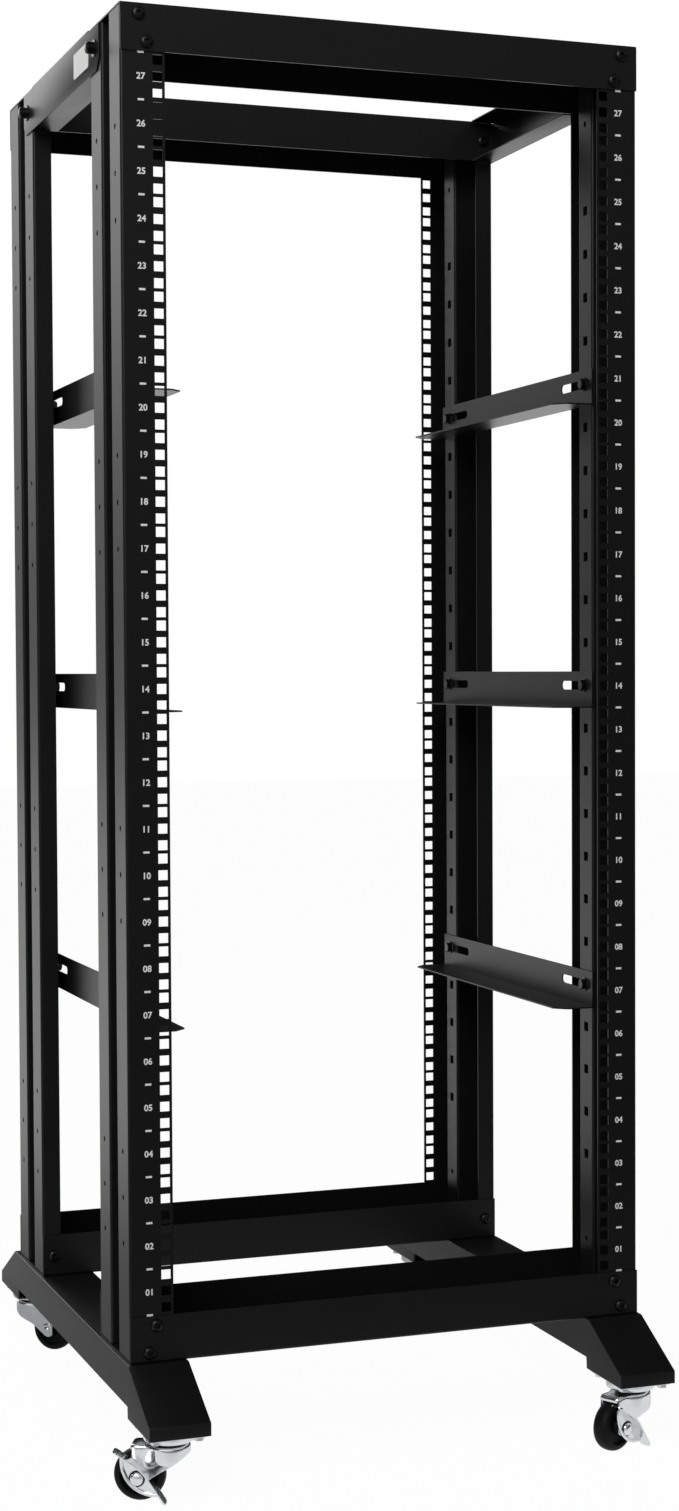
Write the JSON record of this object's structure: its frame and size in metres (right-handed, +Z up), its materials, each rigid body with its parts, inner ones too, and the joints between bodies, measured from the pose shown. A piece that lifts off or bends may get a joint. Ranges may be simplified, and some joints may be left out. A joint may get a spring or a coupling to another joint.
{
  "type": "four post open frame rack",
  "caption": "Open four post 19-inch equipment rack of folded sheet on splayed feet, with swivel casters and brakes on the front wheels.",
  "frame": {"origin": "on the floor under the middle of the frame", "axes": "+X to the right seen from the front, -Y out of the front, +Z up"},
  "size_m": [0.5886, 0.657, 1.4131],
  "materials": {
    "powder_coat": "satin",
    "zinc": "bright",
    "nylon": "satin"
  },
  "bodies": {
    "frame": {"post_front_left": "powder_coat", "post_front_right": "powder_coat", "post_rear_left": "powder_coat", "post_rear_right": "powder_coat", "crossbar_bottom_front": "powder_coat", "crossbar_top_front": "powder_coat", "crossbar_bottom_rear": "powder_coat", "crossbar_top_rear": "powder_coat", "side_bar_top_left": "powder_coat", "side_bar_top_right": "powder_coat", "foot_left": "powder_coat", "foot_right": "powder_coat", "support_rail_left_lower": "powder_coat", "support_rail_right_lower": "powder_coat", "support_rail_left_middle": "powder_coat", "support_rail_right_middle": "powder_coat", "support_rail_left_upper": "powder_coat", "support_rail_right_upper": "powder_coat", "caster_plate_front_left": "zinc", "caster_plate_front_right": "zinc", "caster_plate_rear_left": "zinc", "caster_plate_rear_right": "zinc"},
    "caster_front_left": {"caster_fork_front_left": "zinc", "caster_axle_front_left": "zinc"},
    "wheel_front_left": {"caster_wheel_front_left": "nylon"},
    "brake_front_left": {"brake_lever_front_left": "zinc"},
    "caster_front_right": {"caster_fork_front_right": "zinc", "caster_axle_front_right": "zinc"},
    "wheel_front_right": {"caster_wheel_front_right": "nylon"},
    "brake_front_right": {"brake_lever_front_right": "zinc"},
    "caster_rear_left": {"caster_fork_rear_left": "zinc", "caster_axle_rear_left": "zinc"},
    "wheel_rear_left": {"caster_wheel_rear_left": "nylon"},
    "caster_rear_right": {"caster_fork_rear_right": "zinc", "caster_axle_rear_right": "zinc"},
    "wheel_rear_right": {"caster_wheel_rear_right": "nylon"}
  },
  "joints": [
    {"name": "swivel_front_left", "type": "hinge", "parent": "frame", "child": "caster_front_left", "pos_m": [-0.242, -0.28, 0.0695], "axis": [0, 0, 1], "continuous": true},
    {"name": "roll_front_left", "type": "hinge", "parent": "caster_front_left", "child": "wheel_front_left", "pos_m": [-0.26717, -0.26773, 0.025], "axis": [-0.4384, -0.8988, 0], "continuous": true},
    {"name": "brake_front_left", "type": "hinge", "parent": "caster_front_left", "child": "brake_front_left", "pos_m": [-0.26717, -0.26773, 0.025], "axis": [-0.4384, -0.8988, 0], "range_deg": [0, 20]},
    {"name": "swivel_front_right", "type": "hinge", "parent": "frame", "child": "caster_front_right", "pos_m": [0.242, -0.28, 0.0695], "axis": [0, 0, 1], "continuous": true},
    {"name": "roll_front_right", "type": "hinge", "parent": "caster_front_right", "child": "wheel_front_right", "pos_m": [0.21683, -0.29227, 0.025], "axis": [0.4384, -0.8988, 0], "continuous": true},
    {"name": "brake_front_right", "type": "hinge", "parent": "caster_front_right", "child": "brake_front_right", "pos_m": [0.21683, -0.29227, 0.025], "axis": [0.4384, -0.8988, 0], "range_deg": [0, 20]},
    {"name": "swivel_rear_left", "type": "hinge", "parent": "frame", "child": "caster_rear_left", "pos_m": [-0.242, 0.292, 0.0695], "axis": [0, 0, 1], "continuous": true},
    {"name": "roll_rear_left", "type": "hinge", "parent": "caster_rear_left", "child": "wheel_rear_left", "pos_m": [-0.224, 0.27055, 0.025], "axis": [0.766, 0.6428, 0], "continuous": true},
    {"name": "swivel_rear_right", "type": "hinge", "parent": "frame", "child": "caster_rear_right", "pos_m": [0.242, 0.292, 0.0695], "axis": [0, 0, 1], "continuous": true},
    {"name": "roll_rear_right", "type": "hinge", "parent": "caster_rear_right", "child": "wheel_rear_right", "pos_m": [0.26717, 0.30427, 0.025], "axis": [-0.4384, 0.8988, 0], "continuous": true}
  ]
}
